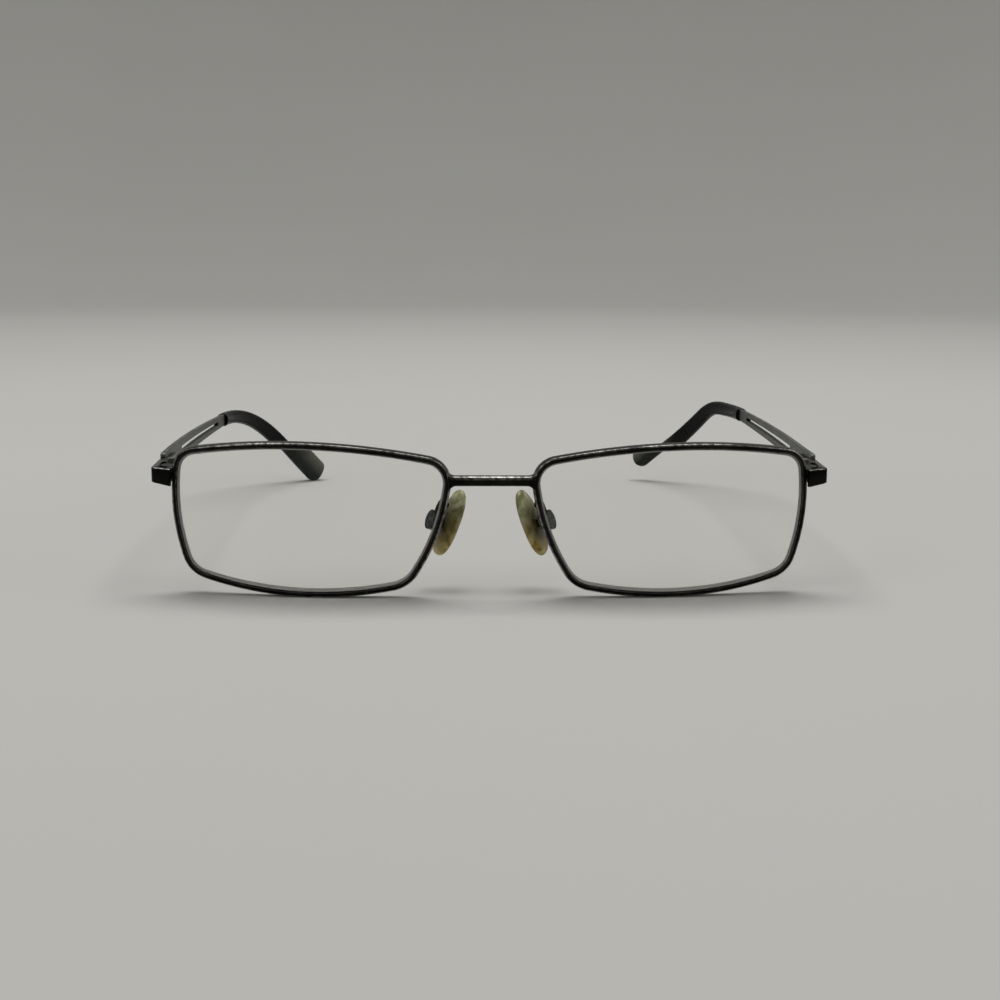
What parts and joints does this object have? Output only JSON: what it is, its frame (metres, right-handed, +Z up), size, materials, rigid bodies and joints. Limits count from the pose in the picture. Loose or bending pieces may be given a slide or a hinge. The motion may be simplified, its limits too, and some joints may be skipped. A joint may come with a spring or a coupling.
{
  "type": "eyeglasses",
  "caption": "Full-rim rectangular metal eyeglasses with a straight bridge, slotted folding temples, curved plastic tips and soft nose pads.",
  "frame": {"origin": "centre of the bottom of the bounding box, on the surface that the rims and the temple tips stand on, midway between the lenses", "axes": "+X to the right as seen from the front, +Y from the front of the glasses back towards the ears, +Z up. The arms are open"},
  "size_m": [0.1416, 0.1398, 0.0323],
  "materials": {
    "gunmetal": "satin black nickel plating",
    "arm_metal": "satin dark grey plating",
    "dark_metal": "satin",
    "screw_steel": "satin",
    "lens": "polished, clear",
    "tip_plastic": "soft gloss",
    "silicone": "translucent, aged yellow"
  },
  "bodies": {
    "front": {"bridge": "gunmetal", "endpiece_left": "gunmetal", "endpiece_right": "gunmetal", "hinge_front_left": "dark_metal", "hinge_front_right": "dark_metal", "hinge_screw_left": "screw_steel", "hinge_screw_right": "screw_steel", "lens_left": "lens", "lens_right": "lens", "pad_arm_left": "gunmetal", "pad_arm_right": "gunmetal", "pad_box_left": "gunmetal", "pad_box_right": "gunmetal", "pad_screw_left": "screw_steel", "pad_screw_right": "screw_steel", "rim_left": "gunmetal", "rim_lock_lower_left": "dark_metal", "rim_lock_lower_right": "dark_metal", "rim_lock_upper_left": "dark_metal", "rim_lock_upper_right": "dark_metal", "rim_right": "gunmetal", "rim_screw_left": "screw_steel", "rim_screw_right": "screw_steel"},
    "arm_right": {"temple_right": "arm_metal", "hinge_temple_right": "dark_metal", "temple_tip_right": "tip_plastic"},
    "pad_right": {"nose_pad_right": "silicone", "pad_mount_right": "dark_metal"},
    "arm_left": {"temple_left": "arm_metal", "hinge_temple_left": "dark_metal", "temple_tip_left": "tip_plastic"},
    "pad_left": {"nose_pad_left": "silicone", "pad_mount_left": "dark_metal"}
  },
  "joints": [
    {"name": "arm_right_hinge", "type": "hinge", "parent": "front", "child": "arm_right", "pos_m": [0.06676, -0.04943, 0.02473], "axis": [0, 0.0142, 0.9999], "range_deg": [0, 85]},
    {"name": "arm_left_hinge", "type": "hinge", "parent": "front", "child": "arm_left", "pos_m": [-0.06676, -0.04943, 0.02473], "axis": [0, -0.0142, -0.9999], "range_deg": [0, 76]},
    {"name": "pad_right_rock", "type": "hinge", "parent": "front", "child": "pad_right", "pos_m": [0.01164, -0.05899, 0.01469], "axis": [0.3746, 0.9214, 0.1031], "range_deg": [-6, 6]},
    {"name": "pad_left_rock", "type": "hinge", "parent": "front", "child": "pad_left", "pos_m": [-0.01164, -0.05899, 0.01469], "axis": [-0.3746, 0.9214, 0.1031], "range_deg": [-6, 6]}
  ]
}
